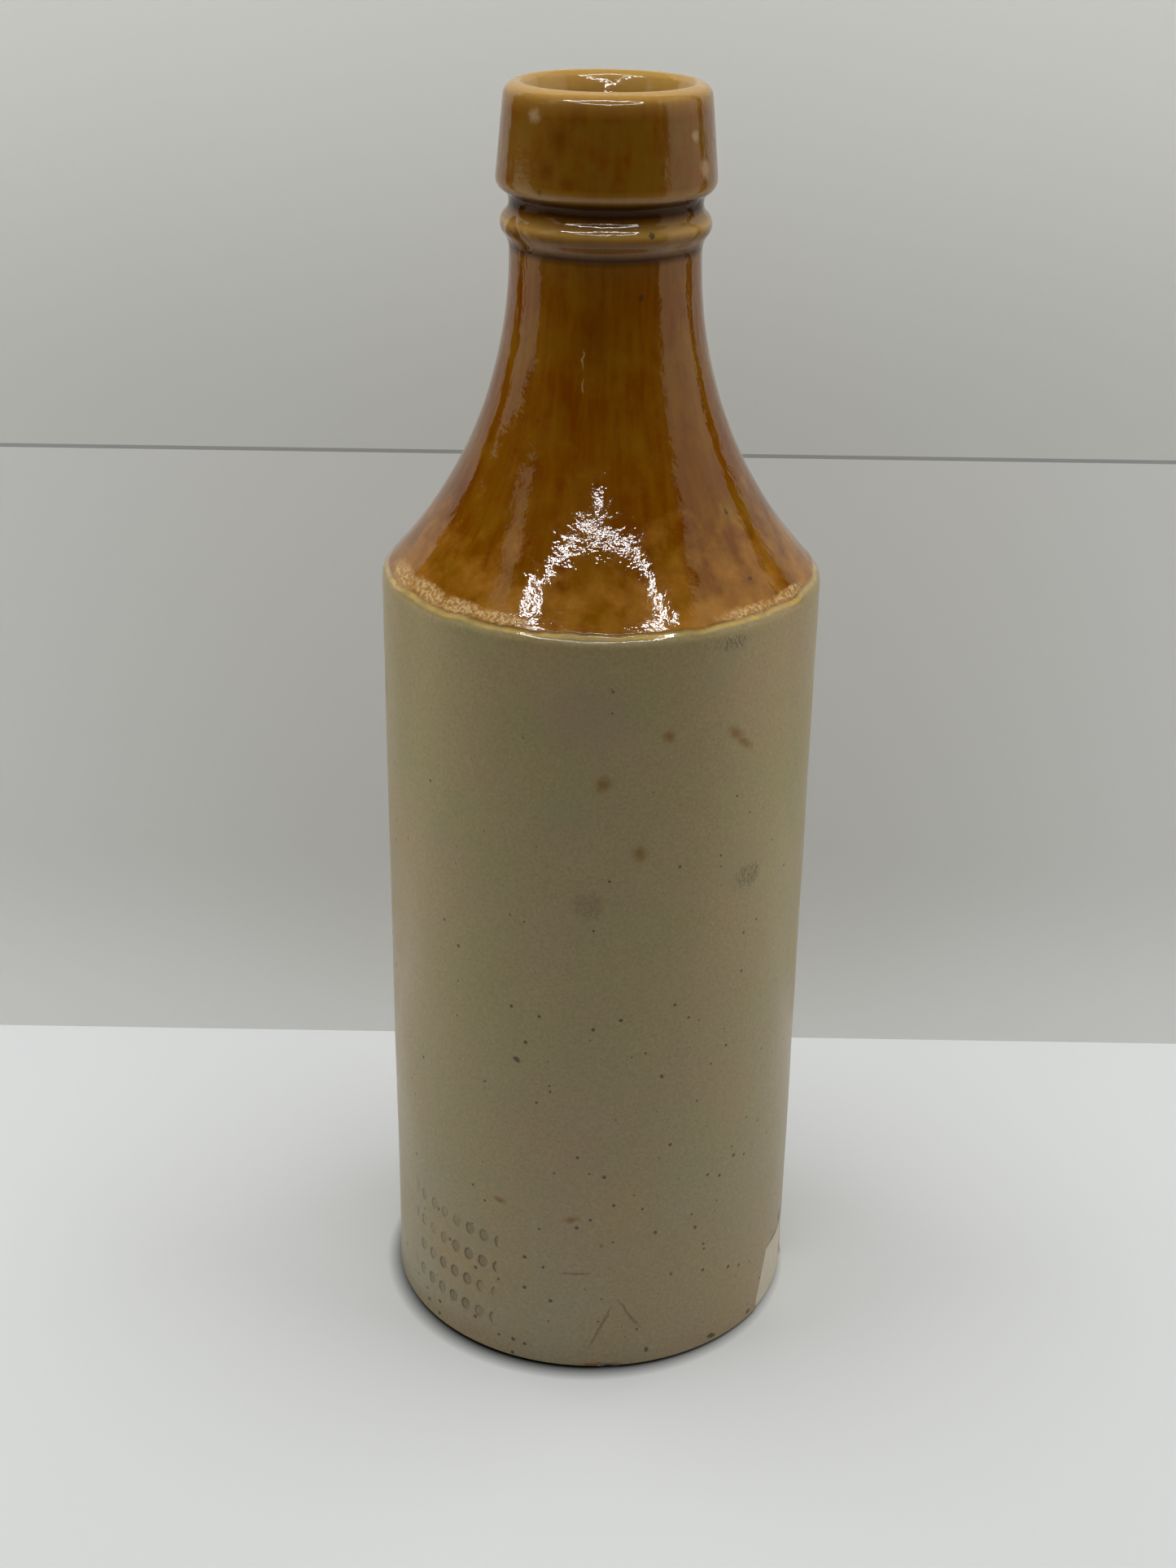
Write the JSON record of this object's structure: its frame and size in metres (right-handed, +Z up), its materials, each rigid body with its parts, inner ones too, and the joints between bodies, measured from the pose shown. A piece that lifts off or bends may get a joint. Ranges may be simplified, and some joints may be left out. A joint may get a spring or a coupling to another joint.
{
  "type": "stoneware stout bottle",
  "caption": "Glazed stoneware bottle with a straight body, a swept shoulder and neck, a beaded collar and a heavy tapering lip bored for a cork.",
  "frame": {"origin": "middle of the standing face, on the bottle's axis", "axes": "+Z up along the bottle's axis to the mouth; +X to the right and -Y towards the viewer of the pictured side"},
  "size_m": [0.0744, 0.0744, 0.22],
  "materials": {
    "glazed_stoneware": "glossy salt-buff glaze on the body, amber glaze dipped over the shoulder, neck and lip"
  },
  "bodies": {
    "root": {"bottle": "glazed_stoneware"}
  },
  "joints": []
}
